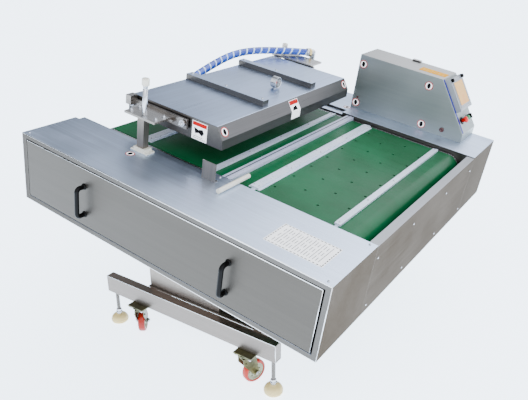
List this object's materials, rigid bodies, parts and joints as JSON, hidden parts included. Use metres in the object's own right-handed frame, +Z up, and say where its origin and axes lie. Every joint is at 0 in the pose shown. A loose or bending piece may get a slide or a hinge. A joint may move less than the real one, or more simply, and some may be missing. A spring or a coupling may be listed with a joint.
{
  "type": "vacuum chamber sealer",
  "caption": "Belt vacuum chamber sealer: tilting stainless table, green belt with sealing strips, lifting lid, control cabinet, casters and levelling feet.",
  "frame": {"origin": "on the floor, at the middle of the object's box", "axes": "+X towards the infeed (low) end of the table, +Y across to the control cabinet side, +Z up"},
  "size_m": [1.4648, 1.768, 1.1756],
  "materials": {
    "stainless": "brushed",
    "stainless_sheet": "brushed sheet",
    "zinc": "olive zinc plate",
    "dark_steel": "satin black",
    "belt_green": "glossy PVC",
    "bar_white": "satin",
    "seal_strip": "satin",
    "nylon_white": "satin",
    "foot_cream": "satin",
    "wheel_orange": "polyurethane",
    "black_plastic": "satin",
    "hose_blue": "gloss PVC",
    "gasket_rubber": "matt",
    "machined_steel": "turned",
    "hmi_grey": "satin",
    "button_red": "gloss",
    "button_green": "gloss",
    "needle_red": "matt"
  },
  "bodies": {
    "base": {"base_frame": "stainless", "base_pan": "stainless", "pedestal": "stainless", "vacuum_pump": "dark_steel", "caster_plates": "zinc"},
    "tilt_lock": {"tilt_lock_lever": "black_plastic"},
    "foot_1": {"levelling_foot_1": "foot_cream"},
    "foot_2": {"levelling_foot_2": "foot_cream"},
    "foot_3": {"levelling_foot_3": "foot_cream"},
    "foot_4": {"levelling_foot_4": "foot_cream"},
    "caster_1": {"caster_fork_1": "zinc"},
    "caster_2": {"caster_fork_2": "zinc"},
    "caster_3": {"caster_fork_3": "zinc"},
    "caster_4": {"caster_fork_4": "zinc"},
    "wheel_1": {"caster_wheel_1": "wheel_orange"},
    "wheel_2": {"caster_wheel_2": "wheel_orange"},
    "wheel_3": {"caster_wheel_3": "wheel_orange"},
    "wheel_4": {"caster_wheel_4": "wheel_orange"},
    "table": {"table_subframe": "stainless", "pivot_shaft": "machined_steel", "near_housing": "stainless_sheet", "far_housing": "stainless_sheet", "end_boards": "stainless_sheet", "conveyor_belt": "belt_green", "chains": "machined_steel", "roller_bearings": "dark_steel", "drive_gearmotor": "dark_steel", "conveyor_bed": "stainless", "post_guides": "nylon_white", "lift_cylinders": "machined_steel", "hose_riser": "machined_steel", "sensor_bracket": "stainless", "guide_rod": "nylon_white", "cabinet_shell": "stainless_sheet", "hmi_panel": "hmi_grey"},
    "near_cover": {"near_side_cover": "stainless_sheet", "near_cover_handles": "black_plastic"},
    "far_cover": {"far_side_cover": "stainless_sheet", "far_cover_handles": "black_plastic"},
    "infeed_roller": {"infeed_roller": "machined_steel"},
    "outfeed_roller": {"outfeed_roller": "machined_steel"},
    "motor_sprocket": {"motor_sprocket": "machined_steel"},
    "flights": {"flight_bars": "bar_white", "seal_strip": "seal_strip"},
    "lid": {"lift_posts": "stainless", "lid_hangers": "stainless", "lid_shell": "stainless_sheet", "lid_gasket": "gasket_rubber", "upper_seal_bar": "bar_white", "stiffener_tubes": "stainless_sheet", "gauge_case": "machined_steel", "lid_port": "stainless", "vacuum_hose": "hose_blue"},
    "near_adjuster": {"near_adjuster": "nylon_white"},
    "far_adjuster": {"far_adjuster": "nylon_white"},
    "gauge_needle": {"gauge_needle": "needle_red"},
    "cabinet_door": {"cabinet_door": "stainless_sheet"},
    "stop_button": {"stop_button": "button_red"},
    "start_button": {"start_button": "button_green"},
    "selector_knob": {"selector_knob": "black_plastic"}
  },
  "joints": [
    {"name": "table_tilt", "type": "hinge", "parent": "base", "child": "table", "pos_m": [-0.1026, 0, 0.496], "axis": [0, 1, 0], "range_deg": [-9.09, 5]},
    {"name": "tilt_lock_turn", "type": "hinge", "parent": "base", "child": "tilt_lock", "pos_m": [0.16521, -0.45, 0.39852], "axis": [0, 1, 0], "range_deg": [-40, 0]},
    {"name": "foot_1_height", "type": "slide", "parent": "base", "child": "foot_1", "axis": [0, 0, 1], "range_m": [-0.01, 0.03]},
    {"name": "foot_2_height", "type": "slide", "parent": "base", "child": "foot_2", "axis": [0, 0, 1], "range_m": [-0.01, 0.03]},
    {"name": "foot_3_height", "type": "slide", "parent": "base", "child": "foot_3", "axis": [0, 0, 1], "range_m": [-0.01, 0.03]},
    {"name": "foot_4_height", "type": "slide", "parent": "base", "child": "foot_4", "axis": [0, 0, 1], "range_m": [-0.01, 0.03]},
    {"name": "caster_1_swivel", "type": "hinge", "parent": "base", "child": "caster_1", "pos_m": [-0.3196, -0.6425, 0.12], "axis": [0, 0, 1], "continuous": true},
    {"name": "wheel_1_spin", "type": "hinge", "parent": "caster_1", "child": "wheel_1", "pos_m": [-0.3391, -0.61465, 0.054], "axis": [-0.8192, -0.5736, 0], "continuous": true},
    {"name": "caster_2_swivel", "type": "hinge", "parent": "base", "child": "caster_2", "pos_m": [0.2674, -0.6425, 0.12], "axis": [0, 0, 1], "continuous": true},
    {"name": "wheel_2_spin", "type": "hinge", "parent": "caster_2", "child": "wheel_2", "pos_m": [0.27791, -0.61016, 0.054], "axis": [-0.9511, 0.309, 0], "continuous": true},
    {"name": "caster_3_swivel", "type": "hinge", "parent": "base", "child": "caster_3", "pos_m": [-0.3196, 0.6425, 0.12], "axis": [0, 0, 1], "continuous": true},
    {"name": "wheel_3_spin", "type": "hinge", "parent": "caster_3", "child": "wheel_3", "pos_m": [-0.35041, 0.62813, 0.054], "axis": [0.4226, -0.9063, 0], "continuous": true},
    {"name": "caster_4_swivel", "type": "hinge", "parent": "base", "child": "caster_4", "pos_m": [0.2674, 0.6425, 0.12], "axis": [0, 0, 1], "continuous": true},
    {"name": "wheel_4_spin", "type": "hinge", "parent": "caster_4", "child": "wheel_4", "pos_m": [0.29419, 0.62157, 0.054], "axis": [0.6157, 0.788, 0], "continuous": true},
    {"name": "near_cover_pull", "type": "slide", "parent": "table", "child": "near_cover", "axis": [0, -1, 0], "range_m": [0, 0.25]},
    {"name": "far_cover_pull", "type": "slide", "parent": "table", "child": "far_cover", "axis": [0, 1, 0], "range_m": [0, 0.25]},
    {"name": "belt_travel", "type": "slide", "parent": "table", "child": "flights", "axis": [-0.9874, 0, 0.158], "range_m": [0, 0.07]},
    {"name": "infeed_roller_spin", "type": "hinge", "parent": "table", "child": "infeed_roller", "pos_m": [0.60345, 0, 0.65663], "axis": [0, -1, 0], "range_deg": [-2, 70]},
    {"name": "outfeed_roller_spin", "type": "hinge", "parent": "table", "child": "outfeed_roller", "pos_m": [-0.53211, 0, 0.83832], "axis": [0, -1, 0], "range_deg": [-2, 70]},
    {"name": "motor_sprocket_spin", "type": "hinge", "parent": "table", "child": "motor_sprocket", "pos_m": [-0.475, 0, 0.70158], "axis": [0, -1, 0], "range_deg": [-3, 93]},
    {"name": "lid_lift", "type": "slide", "parent": "table", "child": "lid", "axis": [0.158, 0, 0.9874], "range_m": [-0.106, 0], "deforming": ["vacuum_hose"]},
    {"name": "near_adjuster_turn", "type": "hinge", "parent": "lid", "child": "near_adjuster", "pos_m": [-0.22636, -0.601, 1.07195], "axis": [0.158, 0, 0.9874], "continuous": true},
    {"name": "far_adjuster_turn", "type": "hinge", "parent": "lid", "child": "far_adjuster", "pos_m": [-0.36855, 0.601, 1.0947], "axis": [0.158, 0, 0.9874], "continuous": true},
    {"name": "gauge_needle_swing", "type": "hinge", "parent": "lid", "child": "gauge_needle", "pos_m": [-0.0648, 0.064, 1.05319], "axis": [0.9874, 0, -0.158], "range_deg": [0, 270]},
    {"name": "cabinet_door_swing", "type": "hinge", "parent": "table", "child": "cabinet_door", "pos_m": [0.06288, 0.8396, 0.96187], "axis": [0.158, 0, 0.9874], "range_deg": [0, 110]},
    {"name": "stop_button_press", "type": "slide", "parent": "table", "child": "stop_button", "axis": [-0.8953, 0, -0.4454], "range_m": [0, 0.004], "stiffness_N_per_m": 600, "springref_m": -0.002},
    {"name": "start_button_press", "type": "slide", "parent": "table", "child": "start_button", "axis": [-0.8953, 0, -0.4454], "range_m": [0, 0.004], "stiffness_N_per_m": 600, "springref_m": -0.002},
    {"name": "selector_turn", "type": "hinge", "parent": "table", "child": "selector_knob", "pos_m": [0.60535, 0.79, 0.83291], "axis": [0.8953, 0, 0.4454], "range_deg": [-45, 45]}
  ],
  "couplings": [
    {"joint": "infeed_roller_spin", "follows": "belt_travel", "rad_per_m": 16.807},
    {"joint": "outfeed_roller_spin", "follows": "belt_travel", "rad_per_m": 16.807},
    {"joint": "motor_sprocket_spin", "follows": "belt_travel", "rad_per_m": 22.409}
  ]
}
